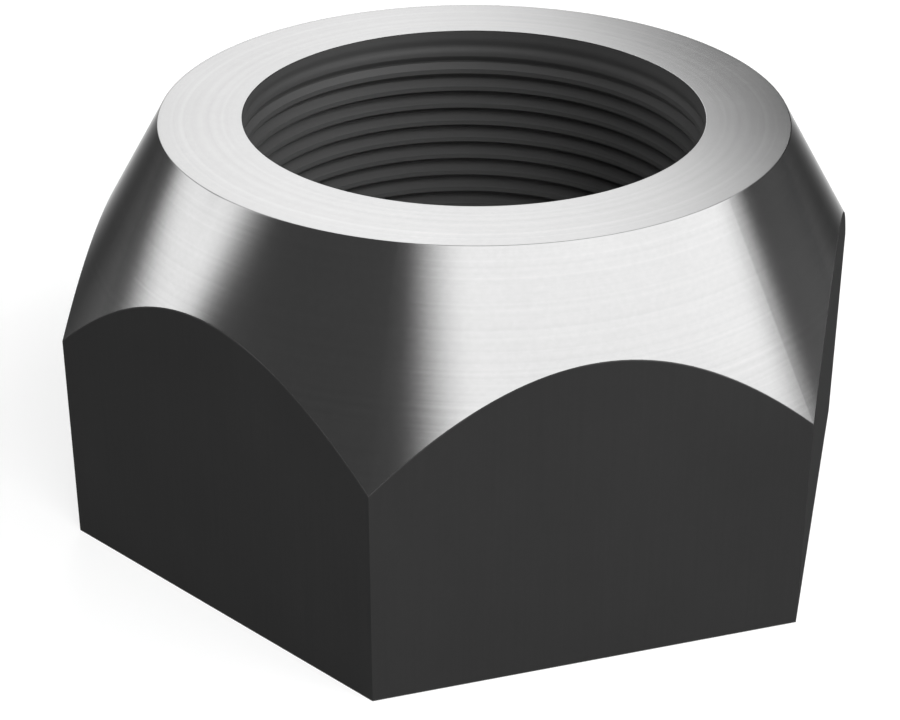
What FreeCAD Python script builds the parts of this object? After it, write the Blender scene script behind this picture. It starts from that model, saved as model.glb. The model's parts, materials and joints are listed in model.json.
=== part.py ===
"""Tapered lock nut, M36 x 1.5, 55 mm across flats.

One solid: a hexagon prism whose upper half is turned down to a steep cone, with a
bore drilled at the crest circle of its fine thread and a countersunk mouth at the
bearing face.  The cone meets each flat in a hyperbola, so every flat ends in an
arch that rises between two corners.

Millimetres, +Z up.  The origin is the centre of the bearing face, the nut's axis is
Z, and two of the six corners lie on X.
"""
import FreeCAD, Part
import math
import os
import Sketcher

DIMENSIONS = [
    ("across_flats", 55.0, "spanner size, from flat to opposite flat"),
    ("overall_height", 31.0, "bearing face to top face"),
    ("top_face_diameter", 46.8, "outer edge of the ring-shaped top face"),
    ("taper_half_angle", 30.0, "slope of the cone, in degrees from the axis"),
    ("thread_diameter", 36.0, "major diameter of the thread"),
    ("thread_pitch", 1.5, "advance of the thread in one turn"),
    ("countersink_lip", 0.5, "how far the mouth reaches outside the thread, each side"),
    ("countersink_angle", 120.0, "full angle of the mouth, in degrees"),
    ("cutter_overrun", 1.0, "how far the turning cut reaches past the corners"),
]

SIDES = 6

# The crest circle of a 60 degree thread lies 5/8 of the triangle's height inside the
# major circle on each side, and the triangle is cos(30) of a pitch high.
CREST_DEPTH = "5 / 8 * cos(30 deg) * Dimensions.thread_pitch"

AXIS = -1
ORIGIN_POINT = 1
X_AXIS = -1
Y_AXIS = -2


def add_sheet(doc):
    """Put the driving dimensions in a sheet, one aliased cell each."""
    sheet = doc.addObject("Spreadsheet::Sheet", "Dimensions")
    for row, (alias, value, meaning) in enumerate(DIMENSIONS, start=1):
        sheet.set(f"A{row}", meaning)
        sheet.set(f"B{row}", str(value))
        sheet.setAlias(f"B{row}", alias)
    doc.recompute()
    return sheet


def add_sketch(body, name, plane_role):
    """Open a sketch on one of the body's own origin planes."""
    plane = next(f for f in body.Origin.OriginFeatures if f.Role == plane_role)
    sketch = body.newObject("Sketcher::SketchObject", name)
    sketch.AttachmentSupport = [(plane, "")]
    sketch.MapMode = "FlatFace"
    return sketch


def bind(sketch, name, constraint, expression):
    """Add a named constraint and drive it from the sheet."""
    index = sketch.addConstraint(constraint)
    sketch.renameConstraint(index, name)
    sketch.setExpression(f"Constraints.{name}", expression)


def draw_chain(sketch, points):
    """Draw a closed chain of straight edges through the points."""
    edges = []
    for start, end in zip(points, points[1:] + points[:1]):
        edges.append(sketch.addGeometry(Part.LineSegment(start, end)))
    for edge, following in zip(edges, edges[1:] + edges[:1]):
        sketch.addConstraint(Sketcher.Constraint("Coincident", edge, 2, following, 1))
    return edges


def draw_hexagon(sketch, across_flats):
    """Draw the regular hexagon, with one corner on +X."""
    corner_radius = across_flats / 2 / math.cos(math.pi / SIDES)
    turns = [2 * math.pi * k / SIDES for k in range(SIDES)]
    corners = [FreeCAD.Vector(corner_radius * math.cos(a), corner_radius * math.sin(a), 0)
               for a in turns]
    edges = draw_chain(sketch, corners)

    guide = sketch.addGeometry(
        Part.Circle(FreeCAD.Vector(), FreeCAD.Vector(0, 0, 1), corner_radius), True)
    sketch.addConstraint(Sketcher.Constraint("Coincident", guide, 3, AXIS, ORIGIN_POINT))
    for edge in edges:
        sketch.addConstraint(Sketcher.Constraint("PointOnObject", edge, 1, guide))
    for edge in edges[1:]:
        sketch.addConstraint(Sketcher.Constraint("Equal", edges[0], edge))
    sketch.addConstraint(Sketcher.Constraint("PointOnObject", edges[0], 1, X_AXIS))

    lower, upper = edges[5], edges[1]
    bind(sketch, "flat_to_flat",
         Sketcher.Constraint("DistanceY", lower, 1, upper, 1, across_flats),
         "Dimensions.across_flats")


def add_hexagon_bar(body, sheet):
    """Pad the hexagon from the bearing face up to the top face."""
    outline = add_sketch(body, "HexagonOutline", "XY_Plane")
    draw_hexagon(outline, sheet.across_flats)
    bar = body.newObject("PartDesign::Pad", "HexagonBar")
    bar.Profile = outline
    bar.setExpression("Length", "Dimensions.overall_height")
    return bar


def add_taper(body, sheet):
    """Turn the cone: revolve the triangle that lies outside it, from the edge of the
    top face out past the corners and down the slope."""
    top_radius = sheet.top_face_diameter / 2
    reach = sheet.across_flats / 2 / math.cos(math.pi / SIDES) + sheet.cutter_overrun
    fall = (reach - top_radius) / math.tan(math.radians(sheet.taper_half_angle))
    top = sheet.overall_height

    section = add_sketch(body, "TaperSection", "XZ_Plane")
    rim_edge, outer_edge, slope = draw_chain(section, [
        FreeCAD.Vector(top_radius, top, 0),
        FreeCAD.Vector(reach, top, 0),
        FreeCAD.Vector(reach, top - fall, 0),
    ])
    section.addConstraint(Sketcher.Constraint("Horizontal", rim_edge))
    section.addConstraint(Sketcher.Constraint("Vertical", outer_edge))
    bind(section, "top_height",
         Sketcher.Constraint("DistanceY", AXIS, ORIGIN_POINT, rim_edge, 1, top),
         "Dimensions.overall_height")
    bind(section, "top_radius",
         Sketcher.Constraint("DistanceX", AXIS, ORIGIN_POINT, rim_edge, 1, top_radius),
         "Dimensions.top_face_diameter / 2")
    bind(section, "cutter_reach",
         Sketcher.Constraint("DistanceX", AXIS, ORIGIN_POINT, outer_edge, 1, reach),
         "Dimensions.across_flats / 2 / cos(30 deg) + Dimensions.cutter_overrun")
    bind(section, "half_angle",
         Sketcher.Constraint("Angle", outer_edge, 2, slope, 1,
                             math.radians(sheet.taper_half_angle)),
         "Dimensions.taper_half_angle * 1 deg")

    taper = body.newObject("PartDesign::Groove", "Taper")
    taper.Profile = section
    taper.ReferenceAxis = (section, ["V_Axis"])
    taper.Angle = 360
    return taper


def add_bore(body, sheet):
    """Drill up from the bearing face at the thread's crest circle, and countersink the
    mouth until it clears the major circle."""
    body.Document.recompute()
    centre = add_sketch(body, "BoreCentre", "XY_Plane")
    circle = centre.addGeometry(
        Part.Circle(FreeCAD.Vector(), FreeCAD.Vector(0, 0, 1), sheet.thread_diameter / 2))
    centre.addConstraint(Sketcher.Constraint("Coincident", circle, 3, AXIS, ORIGIN_POINT))
    bind(centre, "thread_circle",
         Sketcher.Constraint("Diameter", circle, sheet.thread_diameter),
         "Dimensions.thread_diameter")
    body.Document.recompute()

    bore = body.newObject("PartDesign::Hole", "Bore")
    bore.Profile = centre
    bore.Reversed = True
    bore.DepthType = "ThroughAll"
    bore.HoleCutType = "Countersink"
    bore.HoleCutCustomValues = True
    bore.setExpression("Diameter", f"Dimensions.thread_diameter - 2 * {CREST_DEPTH}")
    bore.setExpression("HoleCutDiameter",
                       "Dimensions.thread_diameter + 2 * Dimensions.countersink_lip")
    bore.setExpression("HoleCutCountersinkAngle", "Dimensions.countersink_angle * 1 deg")
    return bore


def check_document(doc, body):
    """Stop if a feature failed, or if a cut took nothing away."""
    for item in doc.Objects:
        if "Invalid" in item.State or "Error" in item.State:
            raise RuntimeError(f"{item.Name} did not rebuild: {item.State}")
    if body.Shape.isNull() or not body.Shape.isValid():
        raise RuntimeError(f"{body.Label} has no valid shape")
    volumes = [doc.getObject(name).Shape.Volume for name in ("HexagonBar", "Taper", "Bore")]
    for before, after in zip(volumes, volumes[1:]):
        if after >= before:
            raise RuntimeError("a cut removed nothing")


def main():
    doc = FreeCAD.newDocument("TaperedLockNut")
    sheet = add_sheet(doc)

    nut = doc.addObject("PartDesign::Body", "LockNut")
    nut.Label = "lock_nut"
    nut.Placement = FreeCAD.Placement()
    add_hexagon_bar(nut, sheet)
    add_taper(nut, sheet)
    nut.Tip = add_bore(nut, sheet)
    doc.recompute()
    check_document(doc, nut)

    os.makedirs("parts", exist_ok=True)
    nut.Shape.exportStep(f"parts/{nut.Label}.step")


main()
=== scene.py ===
"""Tapered lock nut in blackened steel, standing on a pale studio floor.

The nut is one closed surface: a section from the bore's rim out over the top face,
down the cone and the flats, in under the bearing face and up the threaded wall, with
a radius that changes with the turn angle.  Metres, +Z up, origin at the centre of
the bearing face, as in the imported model.
"""
import json
import math
import bmesh
import bpy
import numpy as np
from mathutils import Matrix, Vector


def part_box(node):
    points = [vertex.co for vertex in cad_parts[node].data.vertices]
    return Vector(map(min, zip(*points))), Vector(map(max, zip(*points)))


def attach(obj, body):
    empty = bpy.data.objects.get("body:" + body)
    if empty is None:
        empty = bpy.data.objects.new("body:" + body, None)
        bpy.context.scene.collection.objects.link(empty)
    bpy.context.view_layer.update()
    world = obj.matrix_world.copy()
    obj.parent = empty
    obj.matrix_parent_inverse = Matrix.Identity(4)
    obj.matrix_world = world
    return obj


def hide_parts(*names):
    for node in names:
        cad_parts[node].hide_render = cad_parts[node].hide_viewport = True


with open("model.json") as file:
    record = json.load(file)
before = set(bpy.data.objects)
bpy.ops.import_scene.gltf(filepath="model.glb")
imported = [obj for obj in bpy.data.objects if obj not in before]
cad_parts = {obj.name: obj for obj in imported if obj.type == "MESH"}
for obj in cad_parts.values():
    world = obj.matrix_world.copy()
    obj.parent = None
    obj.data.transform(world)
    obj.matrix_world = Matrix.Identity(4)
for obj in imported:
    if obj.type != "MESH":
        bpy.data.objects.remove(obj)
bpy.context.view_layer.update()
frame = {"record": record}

MM = 0.001

# Sizes of the nut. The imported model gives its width, height and crest circle.
nut_low, nut_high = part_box("lock_nut")
mounts = {mount["name"]: mount for mount in frame["record"]["mounts"]}
SIDES = 6
ACROSS_FLATS = nut_high.y - nut_low.y
HEIGHT = nut_high.z
CREST_RADIUS = mounts["thread"]["dims"]["r_mm"] * MM
TOP_RADIUS = 46.8 * MM / 2
TAPER = math.radians(30)
THREAD_RADIUS = 36 * MM / 2
PITCH = 1.5 * MM
MOUTH_RADIUS = THREAD_RADIUS + 0.5 * MM
MOUTH_SLOPE = math.radians(120 / 2)
EDGE_EASE = 0.02 * MM
PLAIN_RIM = 0.5 * MM
THREAD_RUNOUT = 3 * PITCH

# One pitch of the thread, as shares of the pitch: the crest's flat is a quarter wide
# and the root's an eighth, with a 60 degree flank on either side of the root.
CREST_END = 1 / 4
ROOT_START = CREST_END + 5 / 16
ROOT_END = ROOT_START + 1 / 8

# How finely the surface is divided. HOLD is how many easings away from an edge the
# rows and columns stand that keep its faces flat.
FLAT_COLUMNS = 40
CORNER_COLUMNS = 3
EASE_ROWS = 5
FACE_ROWS = 4
CREST_ROWS = 2
FLANK_ROWS = 3
ROOT_ROWS = 2
HOLD = 3
SAME_POINT = EDGE_EASE / 50
TRUE_EDGE = math.radians(28)

# The black skin: its cloud and speck sizes, as noise scales in a metre, and how much
# clouding and tool marks change its tone and its roughness.
CLOUD_SCALE = 90.0
SPECK_SCALE = 2500.0
SPECK_SHARE = 0.35
CLOUD_TONE = 0.30
MARK_TONE = 0.14
CLOUD_ROUGHNESS = 0.06
WEAR_START = 0.3
WEAR_GAIN = 1.5

# How much longer than wide the drawn lines are, as the share of their scale along Z.
DRAWN_STRETCH = 0.02

# The studio: how far off the lamps stand and how wide their soft rim usually is, the
# floor's size, its grey and how much it is lifted as background, the strength of the
# even light, and the wall's brightness at the horizon and from the angle WALL_TOP up.
LAMP_DISTANCE = 1.2
SOFT_RIM = (0.3, 0.3)
FLOOR_RADIUS = 0.9
FLOOR_SIDES = 128
FLOOR_GREY = 0.34
FLOOR_ROUGHNESS = 0.9
FLOOR_LIFT = 0.69
AIR = 0.05
WALL_LOW = 0.75
WALL_HIGH = 0.317
WALL_TOP = math.radians(14)

# The photograph's camera: its place, the direction it looks in and its lens.
CAMERA_PLACE = Vector((-46.554, -145.123, 92.493)) * MM
CAMERA_AIM = Vector((0.25883, 0.84019, -0.47655))
CAMERA_LENS = 87.885
CAMERA_SENSOR = 36.0


def corner_rounding():
    """Centre distance and half angle of the small arc that rounds a vertical edge.

    The arc's centre lies inside the corner by its radius over cos(180/sides), and the
    arc meets the flats where its own radius stands square to them."""
    half = math.pi / SIDES
    centre = ACROSS_FLATS / 2 / math.cos(half) - EDGE_EASE / math.cos(half)
    reach = math.atan2(EDGE_EASE * math.sin(half), centre + EDGE_EASE * math.cos(half))
    return centre, reach


def turn_angles():
    """Turn angles of the columns, over one full turn: close together in the rounding
    of each corner, one held just past it, and even steps across each flat."""
    sector = 2 * math.pi / SIDES
    reach = corner_rounding()[1]
    rounding = np.linspace(0, reach, CORNER_COLUMNS)
    flat = np.linspace(HOLD * reach, sector - HOLD * reach, FLAT_COLUMNS + 1)
    one_side = np.concatenate([rounding, flat, sector - rounding[:0:-1]])
    turns = (one_side[None, :] + sector * np.arange(SIDES)[:, None]).ravel()
    return np.append(turns, 2 * math.pi)


def outline_radius(turn):
    """Distance from the axis to the hexagon at a turn angle.

    Past the rounding it is half the width across flats over the cosine of the angle
    to the flat's middle. Inside it, it is where the ray leaves the corner's arc."""
    half = math.pi / SIDES
    from_corner = np.abs((turn + half) % (2 * half) - half)
    centre, reach = corner_rounding()
    flat = ACROSS_FLATS / 2 / np.cos(half - from_corner)
    inside_root = EDGE_EASE ** 2 - (centre * np.sin(from_corner)) ** 2
    arc = centre * np.cos(from_corner) + np.sqrt(np.maximum(inside_root, 0))
    return np.where(from_corner < reach, arc, flat)


def ease_corner(before, corner, after):
    """Rows that ease one corner of the section.

    Before and after point from the corner along its two sides. The rows are a held
    row on the first side, a small parabola that touches both sides (corner weights
    (1-t)^2, 2t(1-t) and t^2) and a held row on the second side."""
    before, corner, after = (np.asarray(point, float) for point in (before, corner, after))
    start, end = corner + EDGE_EASE * before, corner + EDGE_EASE * after
    rows = [corner + HOLD * EDGE_EASE * before]
    for t in np.linspace(0, 1, EASE_ROWS):
        rows.append((1 - t) ** 2 * start + 2 * t * (1 - t) * corner + t ** 2 * end)
    rows.append(corner + HOLD * EDGE_EASE * after)
    return rows


def rows_between(first, last):
    """Rows that divide a straight stretch of the section evenly, its ends left out."""
    steps = np.linspace(0, 1, FACE_ROWS + 2)[1:-1]
    return [first + (last - first) * step for step in steps]


def thread_wall(turn, low, high):
    """Rows of the threaded wall, from its low end up to its high end.

    Each row follows the helix, one pitch up in a right-hand turn, so the rows run
    along the crests and the roots. The radius runs in straight lines from crest to
    root and back over one pitch. It fades to the crest circle over the last turns
    under the plain rim, and at the mouth it is never inside the countersink's cone,
    which narrows by tan(slope) for each unit of height."""
    shares = np.concatenate([
        np.linspace(0, CREST_END, CREST_ROWS, endpoint=False),
        np.linspace(CREST_END, ROOT_START, FLANK_ROWS, endpoint=False),
        np.linspace(ROOT_START, ROOT_END, ROOT_ROWS, endpoint=False),
        np.linspace(ROOT_END, 1, FLANK_ROWS, endpoint=False),
    ])
    first, last = math.floor(low / PITCH) - 1, math.ceil(high / PITCH)
    steps = (np.arange(first, last + 1)[:, None] + shares[None, :]).ravel()
    rise = turn / (2 * math.pi)
    height = np.clip(PITCH * (steps[:, None] + rise[None, :]), low, high)

    phase = (height / PITCH - rise[None, :]) % 1
    depth = np.interp(phase, [0, CREST_END, ROOT_START, ROOT_END, 1], [0, 0, 1, 1, 0])
    fade = np.clip((HEIGHT - PLAIN_RIM - height) / THREAD_RUNOUT, 0, 1)
    thread = CREST_RADIUS + (THREAD_RADIUS - CREST_RADIUS) * depth * fade
    mouth = MOUTH_RADIUS - height * math.tan(MOUTH_SLOPE)
    return np.stack([np.maximum(thread, mouth), height], axis=1)


def nut_section(turn):
    """All rows of the section, as radius and height for each turn angle, with the
    finish of the faces that follow each row and a mark on the rows of eased edges.

    The cone's radius grows by tan(taper) for each unit below the top face, so it
    meets the hexagon where the outline's distance past the top face's edge, over
    tan(taper), is the drop."""
    ones = np.ones_like(turn)
    outline = outline_radius(turn)
    arch = HEIGHT - (outline - TOP_RADIUS) / math.tan(TAPER)

    def pair(radius, height):
        return np.stack([radius * ones, height * ones])

    inward, outward = pair(-1, 0), pair(1, 0)
    down, up = pair(0, -1), pair(0, 1)
    down_cone = pair(math.sin(TAPER), -math.cos(TAPER))
    into_mouth = pair(-math.sin(MOUTH_SLOPE), math.cos(MOUTH_SLOPE))

    eased = [
        ("faced", ease_corner(down, pair(CREST_RADIUS, HEIGHT), outward)),
        ("turned", ease_corner(inward, pair(TOP_RADIUS, HEIGHT), down_cone)),
        ("drawn", ease_corner(-down_cone, pair(outline, arch), down)),
        ("faced", ease_corner(up, pair(outline, 0), inward)),
        ("turned", ease_corner(outward, pair(MOUTH_RADIUS, 0), into_mouth)),
    ]
    rows, finishes, edges = [], [], []
    for finish, corner_rows in eased:
        if rows:
            stretch = rows_between(rows[-1], corner_rows[0])
            rows += stretch
            finishes += [finishes[-1]] * len(stretch)
            edges += [0] * len(stretch)
        rows += corner_rows
        finishes += [finish] * len(corner_rows)
        edges += [0] + [1] * EASE_ROWS + [0]
    wall = thread_wall(turn, rows[-1][1].max(), HEIGHT - HOLD * EDGE_EASE)
    finishes += ["tapped"] * len(wall)
    edges += [0] * len(wall)
    return np.concatenate([np.stack(rows), wall]), finishes, np.array(edges, float)


def make_nut(materials):
    """The nut as one closed mesh: each row of the section carried round the axis, x
    and y being the radius times the cosine and the sine of the turn angle."""
    turn = turn_angles()
    section, finishes, edges = nut_section(turn)
    radius, height = section[:, 0], section[:, 1]
    points = np.stack([radius * np.cos(turn), radius * np.sin(turn), height], axis=2)

    count, columns = radius.shape
    row, column = np.meshgrid(np.arange(count), np.arange(columns - 1), indexing="ij")
    here, below = row * columns + column, (row + 1) % count * columns + column
    faces = np.stack([here, below, below + 1, here + 1], axis=2).reshape(-1, 4)

    mesh = bpy.data.meshes.new("lock_nut_surface")
    mesh.from_pydata(points.reshape(-1, 3).tolist(), [], faces.tolist())
    for material in materials.values():
        mesh.materials.append(material)
    slots = [list(materials).index(finish) for finish in finishes]
    mesh.polygons.foreach_set("material_index", np.repeat(slots, columns - 1).astype(np.int32))
    mark = mesh.attributes.new("edge", "FLOAT", "POINT")
    mark.data.foreach_set("value", np.repeat(edges, columns).astype(np.float32))
    close_surface(mesh)
    nut = bpy.data.objects.new("lock_nut_body", mesh)
    bpy.context.scene.collection.objects.link(nut)
    return nut


def close_surface(mesh):
    """Join the points that coincide at the seam and at the thread's ends, and shade
    the surface smooth but for its true edges."""
    work = bmesh.new()
    work.from_mesh(mesh)
    bmesh.ops.remove_doubles(work, verts=work.verts, dist=SAME_POINT)
    work.to_mesh(mesh)
    work.free()
    mesh.shade_smooth()
    mesh.set_sharp_from_angle(angle=TRUE_EDGE)


def new_group(name, inputs, outputs):
    """Open a shader node group with named sockets, and return it with its two ends."""
    group = bpy.data.node_groups.new(name, "ShaderNodeTree")
    for label, kind, value in inputs:
        socket = group.interface.new_socket(label, in_out="INPUT", socket_type=kind)
        if value is not None:
            socket.default_value = value
    for label, kind in outputs:
        group.interface.new_socket(label, in_out="OUTPUT", socket_type=kind)
    return group, group.nodes.new("NodeGroupInput"), group.nodes.new("NodeGroupOutput")


def math_node(tree, operation, first, second=None, third=None, clamp=False):
    """One Math node, whose inputs are sockets or numbers."""
    node = tree.nodes.new("ShaderNodeMath")
    node.operation = operation
    node.use_clamp = clamp
    for socket, value in zip(node.inputs, (first, second, third)):
        if isinstance(value, bpy.types.NodeSocket):
            tree.links.new(value, socket)
        elif value is not None:
            socket.default_value = value
    return node.outputs[0]


def noise_node(tree, vector, scale, detail, dimensions="3D"):
    """One Noise Texture on a vector, or on a single number where it is 1D."""
    node = tree.nodes.new("ShaderNodeTexNoise")
    node.noise_dimensions = dimensions
    node.inputs["Scale"].default_value = scale
    node.inputs["Detail"].default_value = detail
    tree.links.new(vector, node.inputs["W" if dimensions == "1D" else "Vector"])
    return node.outputs["Fac"]


def turned_marks_group():
    """Fine marks that a lathe tool leaves: lines round the axis, on the top face, the
    cone and the bearing face alike, because they follow radius minus height."""
    group, start, end = new_group(
        "turned marks",
        [("Position", "NodeSocketVector", None), ("Lines per metre", "NodeSocketFloat", 5000.0)],
        [("Height", "NodeSocketFloat")])
    parts = group.nodes.new("ShaderNodeSeparateXYZ")
    group.links.new(start.outputs["Position"], parts.inputs["Vector"])
    squares = math_node(group, "ADD",
                        math_node(group, "MULTIPLY", parts.outputs["X"], parts.outputs["X"]),
                        math_node(group, "MULTIPLY", parts.outputs["Y"], parts.outputs["Y"]))
    along = math_node(group, "SUBTRACT", math_node(group, "SQRT", squares), parts.outputs["Z"])
    lines = math_node(group, "MULTIPLY", along, start.outputs["Lines per metre"])
    height = noise_node(group, lines, scale=1.0, detail=3.0, dimensions="1D")
    group.links.new(height, end.inputs["Height"])
    return group


def drawn_marks_group():
    """Fine lines along the bar, as drawing leaves them: noise drawn out along Z."""
    group, start, end = new_group(
        "drawn marks",
        [("Position", "NodeSocketVector", None), ("Lines per metre", "NodeSocketFloat", 3000.0)],
        [("Height", "NodeSocketFloat")])
    parts = group.nodes.new("ShaderNodeSeparateXYZ")
    group.links.new(start.outputs["Position"], parts.inputs["Vector"])
    joined = group.nodes.new("ShaderNodeCombineXYZ")
    for axis, stretch in (("X", 1.0), ("Y", 1.0), ("Z", DRAWN_STRETCH)):
        lines = math_node(group, "MULTIPLY", parts.outputs[axis], start.outputs["Lines per metre"])
        group.links.new(math_node(group, "MULTIPLY", lines, stretch), joined.inputs[axis])
    height = noise_node(group, joined.outputs["Vector"], scale=1.0, detail=3.0)
    group.links.new(height, end.inputs["Height"])
    return group


def black_finish_group():
    """The blackened skin: broad soft clouding and a fine speckle in its colour and its
    roughness, the tool marks in its colour, and a hair of bare steel on the edges.

    The tone is one on average: it swings by CLOUD_TONE and MARK_TONE about that."""
    group, start, end = new_group(
        "black finish",
        [("Position", "NodeSocketVector", None), ("Edge", "NodeSocketFloat", 0.0),
         ("Marks", "NodeSocketFloat", 0.5),
         ("Skin", "NodeSocketColor", (0.05, 0.05, 0.05, 1.0)),
         ("Bare steel", "NodeSocketColor", (0.13, 0.13, 0.13, 1.0)),
         ("Roughness", "NodeSocketFloat", 0.25)],
        [("Color", "NodeSocketColor"), ("Roughness", "NodeSocketFloat")])
    position = start.outputs["Position"]
    cloud = noise_node(group, position, CLOUD_SCALE, detail=3.0)
    speckle = noise_node(group, position, SPECK_SCALE, detail=2.0)
    both = math_node(group, "MULTIPLY_ADD", speckle, SPECK_SHARE,
                     math_node(group, "MULTIPLY", cloud, 1 - SPECK_SHARE))

    streaks = math_node(group, "MULTIPLY_ADD", start.outputs["Marks"], MARK_TONE,
                        1 - (CLOUD_TONE + MARK_TONE) / 2)
    tone = math_node(group, "MULTIPLY_ADD", both, CLOUD_TONE, streaks)
    shaded = group.nodes.new("ShaderNodeVectorMath")
    shaded.operation = "SCALE"
    group.links.new(start.outputs["Skin"], shaded.inputs["Vector"])
    group.links.new(tone, shaded.inputs["Scale"])

    bared = math_node(group, "MULTIPLY_ADD", cloud, WEAR_GAIN, -WEAR_GAIN * WEAR_START, clamp=True)
    worn = math_node(group, "MULTIPLY", start.outputs["Edge"], bared)
    # A Mix node has a pair of inputs for each kind of value: 6 and 7 are its colours,
    # and 2 is the mixed colour.
    mix = group.nodes.new("ShaderNodeMix")
    mix.data_type = "RGBA"
    group.links.new(worn, mix.inputs["Factor"])
    group.links.new(shaded.outputs["Vector"], mix.inputs[6])
    group.links.new(start.outputs["Bare steel"], mix.inputs[7])
    group.links.new(mix.outputs[2], end.inputs["Color"])

    swing = math_node(group, "MULTIPLY_ADD", both, CLOUD_ROUGHNESS, -CLOUD_ROUGHNESS / 2)
    group.links.new(math_node(group, "ADD", swing, start.outputs["Roughness"]),
                    end.inputs["Roughness"])
    return group


def steel(name, marks, finish, skin, grazing, roughness, lines, depth):
    """Blackened steel with one kind of tool marks.

    Skin is its grey seen straight on, and grazing dims its gloss at a glancing angle.
    Lines is how many marks a metre holds, and depth is how deep they are."""
    material = bpy.data.materials.new(name)
    material.use_nodes = True
    tree = material.node_tree
    surface = tree.nodes["Principled BSDF"]
    surface.inputs["Metallic"].default_value = 1.0
    surface.inputs["Specular Tint"].default_value = (grazing, grazing, grazing, 1.0)

    place = tree.nodes.new("ShaderNodeTexCoord")
    edge = tree.nodes.new("ShaderNodeAttribute")
    edge.attribute_name = "edge"

    skin_node = tree.nodes.new("ShaderNodeGroup")
    skin_node.node_tree = finish
    skin_node.inputs["Skin"].default_value = (skin, skin, skin, 1.0)
    skin_node.inputs["Roughness"].default_value = roughness
    tree.links.new(place.outputs["Object"], skin_node.inputs["Position"])
    tree.links.new(edge.outputs["Fac"], skin_node.inputs["Edge"])
    tree.links.new(skin_node.outputs["Color"], surface.inputs["Base Color"])
    tree.links.new(skin_node.outputs["Roughness"], surface.inputs["Roughness"])

    marks_node = tree.nodes.new("ShaderNodeGroup")
    marks_node.node_tree = marks
    marks_node.inputs["Lines per metre"].default_value = lines
    tree.links.new(place.outputs["Object"], marks_node.inputs["Position"])
    bump = tree.nodes.new("ShaderNodeBump")
    bump.inputs["Strength"].default_value = 1.0
    bump.inputs["Distance"].default_value = depth
    tree.links.new(marks_node.outputs["Height"], skin_node.inputs["Marks"])
    tree.links.new(marks_node.outputs["Height"], bump.inputs["Height"])
    tree.links.new(bump.outputs["Normal"], surface.inputs["Normal"])
    return material


def nut_materials():
    """The nut's four finishes: the faced ends, the turned cone, the flats left as drawn
    and the tapped wall. The flats' skin is partly painted shade: it is far darker than
    the same black steel on the cone, so the flats read dark though they mirror the pale floor."""
    turned, drawn, finish = turned_marks_group(), drawn_marks_group(), black_finish_group()
    return {
        "faced": steel("faced black steel", turned, finish, skin=0.1255, grazing=0.47,
                       roughness=0.186, lines=2000.0, depth=0.0008 * MM),
        "turned": steel("turned black steel", turned, finish, skin=0.125, grazing=0.29,
                        roughness=0.138, lines=2000.0, depth=0.0008 * MM),
        # Painted shade: the flats' skin and grazing value sit far below the cone's, so the flats
        # show dark. Their rough gloss and drawn lines are their own finish.
        "drawn": steel("drawn black steel with painted shade", drawn, finish, skin=0.0385, grazing=0.05,
                       roughness=0.69, lines=4000.0, depth=0.001 * MM),
        "tapped": steel("tapped steel", turned, finish, skin=0.087, grazing=0.3,
                        roughness=0.8, lines=9000.0, depth=0.001 * MM),
    }


def shown_as_background(tree):
    """One for rays from the camera, in a reflection or through glass, else zero."""
    path = tree.nodes.new("ShaderNodeLightPath")
    seen = math_node(tree, "MAXIMUM", path.outputs["Is Camera Ray"], path.outputs["Is Glossy Ray"])
    return math_node(tree, "MAXIMUM", seen, path.outputs["Is Transmission Ray"])


def pale_floor():
    """A round matt grey floor at the bearing face. What shows of it as background is
    lifted to nearly white, and the nut's shadow stays on it."""
    turn = np.linspace(0, 2 * math.pi, FLOOR_SIDES, endpoint=False)
    rim = FLOOR_RADIUS * np.stack([np.cos(turn), np.sin(turn), 0 * turn], axis=1)
    mesh = bpy.data.meshes.new("floor")
    mesh.from_pydata(rim.tolist(), [], [list(range(FLOOR_SIDES))])
    floor = bpy.data.objects.new("floor", mesh)
    bpy.context.scene.collection.objects.link(floor)

    material = bpy.data.materials.new("pale floor")
    material.use_nodes = True
    tree = material.node_tree
    surface = tree.nodes["Principled BSDF"]
    surface.inputs["Base Color"].default_value = (FLOOR_GREY, FLOOR_GREY, FLOOR_GREY, 1.0)
    surface.inputs["Roughness"].default_value = FLOOR_ROUGHNESS
    surface.inputs["Specular IOR Level"].default_value = 0.0
    surface.inputs["Emission Color"].default_value = (1.0, 1.0, 1.0, 1.0)
    lift = math_node(tree, "MULTIPLY", shown_as_background(tree), FLOOR_LIFT)
    tree.links.new(lift, surface.inputs["Emission Strength"])
    mesh.materials.append(material)


def studio_air():
    """The world: a low even light. As background it is a wall, pale at the horizon
    and greyer from there up, and the metal shows that wall too."""
    world = bpy.data.worlds.new("studio")
    bpy.context.scene.world = world
    world.use_nodes = True
    tree = world.node_tree
    air = tree.nodes["Background"]
    air.inputs["Color"].default_value = (1.0, 1.0, 1.0, 1.0)

    direction = tree.nodes.new("ShaderNodeTexCoord")
    parts = tree.nodes.new("ShaderNodeSeparateXYZ")
    tree.links.new(direction.outputs["Generated"], parts.inputs["Vector"])
    wall = tree.nodes.new("ShaderNodeMapRange")
    wall.interpolation_type = "SMOOTHSTEP"
    tree.links.new(parts.outputs["Z"], wall.inputs["Value"])
    wall.inputs["From Max"].default_value = math.sin(WALL_TOP)
    wall.inputs["To Min"].default_value = WALL_LOW - AIR
    wall.inputs["To Max"].default_value = WALL_HIGH - AIR
    tree.links.new(math_node(tree, "MULTIPLY_ADD", shown_as_background(tree),
                             wall.outputs["Result"], AIR),
                   air.inputs["Strength"])


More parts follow.
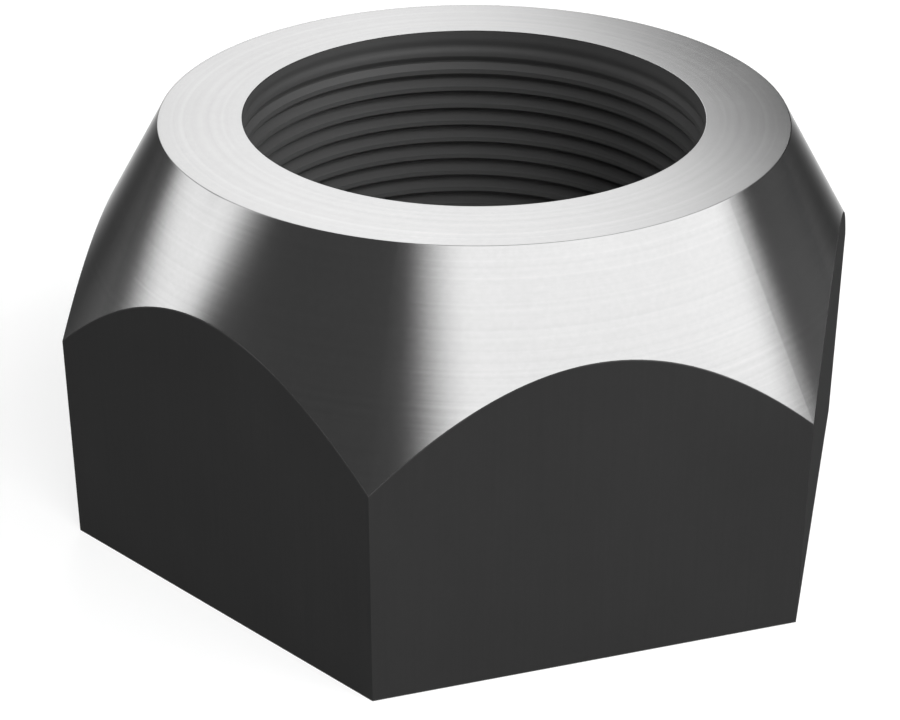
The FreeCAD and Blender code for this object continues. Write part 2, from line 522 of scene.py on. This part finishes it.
def fade_lamp(lamp, fade, taper):
    """Let a lamp's panel fade out towards its rim, as a softbox does.

    Its strength is one inside and falls to nothing at the rim along a smooth step. Fade
    gives the step's length as a share of the half width and of the half height. Taper is
    the share by which the panel narrows over its height, or widens if it is negative.
    The place on the panel runs from -1 to 1 each way, twice its own 0 to 1 less one."""
    lamp.use_nodes = True
    tree = lamp.node_tree
    panel = tree.nodes.new("ShaderNodeNewGeometry")
    place = tree.nodes.new("ShaderNodeSeparateXYZ")
    tree.links.new(panel.outputs["Parametric"], place.inputs["Vector"])
    across = math_node(tree, "MULTIPLY_ADD", place.outputs["X"], 2.0, -1.0)
    up = math_node(tree, "MULTIPLY_ADD", place.outputs["Y"], 2.0, -1.0)
    half_width = math_node(tree, "MULTIPLY_ADD", place.outputs["Y"], taper, 1 - taper)
    across = math_node(tree, "DIVIDE", across, half_width)

    strength = 1.0
    for distance, share in ((across, fade[0]), (up, fade[1])):
        rim = tree.nodes.new("ShaderNodeMapRange")
        rim.interpolation_type = "SMOOTHSTEP"
        tree.links.new(math_node(tree, "ABSOLUTE", distance), rim.inputs["Value"])
        rim.inputs["From Min"].default_value = 1.0
        rim.inputs["From Max"].default_value = 1 - share
        strength = math_node(tree, "MULTIPLY", rim.outputs["Result"], strength)
    tree.links.new(strength, tree.nodes["Emission"].inputs["Strength"])


def softbox(name, azimuth, elevation, width, height, radiance, roll=0, fade=SOFT_RIM, taper=0.0):
    """A rectangular lamp with a soft rim that faces the nut from LAMP_DISTANCE away.

    Its place, its size as the nut sees it and its roll about that line are in degrees,
    azimuth from +Y towards +X. Radiance is the brightness that its middle shows, where 1
    is white. Fade and taper are as in fade_lamp."""
    across, up = (2 * LAMP_DISTANCE * math.tan(math.radians(angle / 2)) for angle in (width, height))
    lamp = bpy.data.lights.new(name, "AREA")
    lamp.shape = "RECTANGLE"
    lamp.size, lamp.size_y = across, up
    lamp.energy = radiance * across * up * math.pi
    fade_lamp(lamp, fade, taper)
    a, e = math.radians(azimuth), math.radians(elevation)
    away = Vector((math.sin(a) * math.cos(e), math.cos(a) * math.cos(e), math.sin(e)))
    holder = bpy.data.objects.new(name, lamp)
    holder.matrix_world = (Matrix.Translation(Vector((0, 0, HEIGHT / 2)) + away * LAMP_DISTANCE)
                           @ away.to_track_quat("Z", "Y").to_matrix().to_4x4()
                           @ Matrix.Rotation(math.radians(roll), 4, "Z"))
    holder.visible_camera = False
    bpy.context.scene.collection.objects.link(holder)


def studio_light():
    """A long softbox in front lights the cone, two on the left make its narrow band,
    and one behind the nut lights the top face. Three dim ones show in the metal from
    the other sides."""
    softbox("front softbox", azimuth=147.5, elevation=38.4, width=120.2, height=34.7,
            radiance=6.52, roll=-12.5, fade=(0.42, 0.15), taper=0.23)
    softbox("left softbox", azimuth=-54, elevation=10.6, width=40.7, height=16,
            radiance=6.19, roll=3.2, fade=(0.59, 0.75), taper=-0.24)
    softbox("upper left softbox", azimuth=-71.5, elevation=22.6, width=34.6, height=25.4,
            radiance=5.49, roll=-20.7, fade=(0.78, 0.66), taper=0.71)
    softbox("back softbox", azimuth=14.9, elevation=25, width=19.3, height=29.8,
            radiance=8.17, roll=41.6, fade=(0.38, 0.41), taper=-0.16)
    softbox("rear left softbox", azimuth=-45, elevation=35, width=24, height=26, radiance=3.0)
    softbox("high right softbox", azimuth=97, elevation=51, width=24, height=18, radiance=2.6)
    softbox("low right softbox", azimuth=143, elevation=12.5, width=16, height=10, radiance=1.2)


def set_camera():
    """The camera at the photograph's place, aim and lens."""
    data = bpy.data.cameras.new("camera")
    data.sensor_width = CAMERA_SENSOR
    data.lens = CAMERA_LENS
    data.clip_start = 0.01
    camera = bpy.data.objects.new("camera", data)
    camera.location = CAMERA_PLACE
    camera.rotation_mode = "QUATERNION"
    camera.rotation_quaternion = CAMERA_AIM.to_track_quat("-Z", "Y")
    bpy.context.scene.collection.objects.link(camera)
    bpy.context.scene.camera = camera


nut = make_nut(nut_materials())
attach(nut, "root")
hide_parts("lock_nut")

pale_floor()
studio_air()
studio_light()
set_camera()
bpy.context.scene.view_settings.view_transform = "Standard"
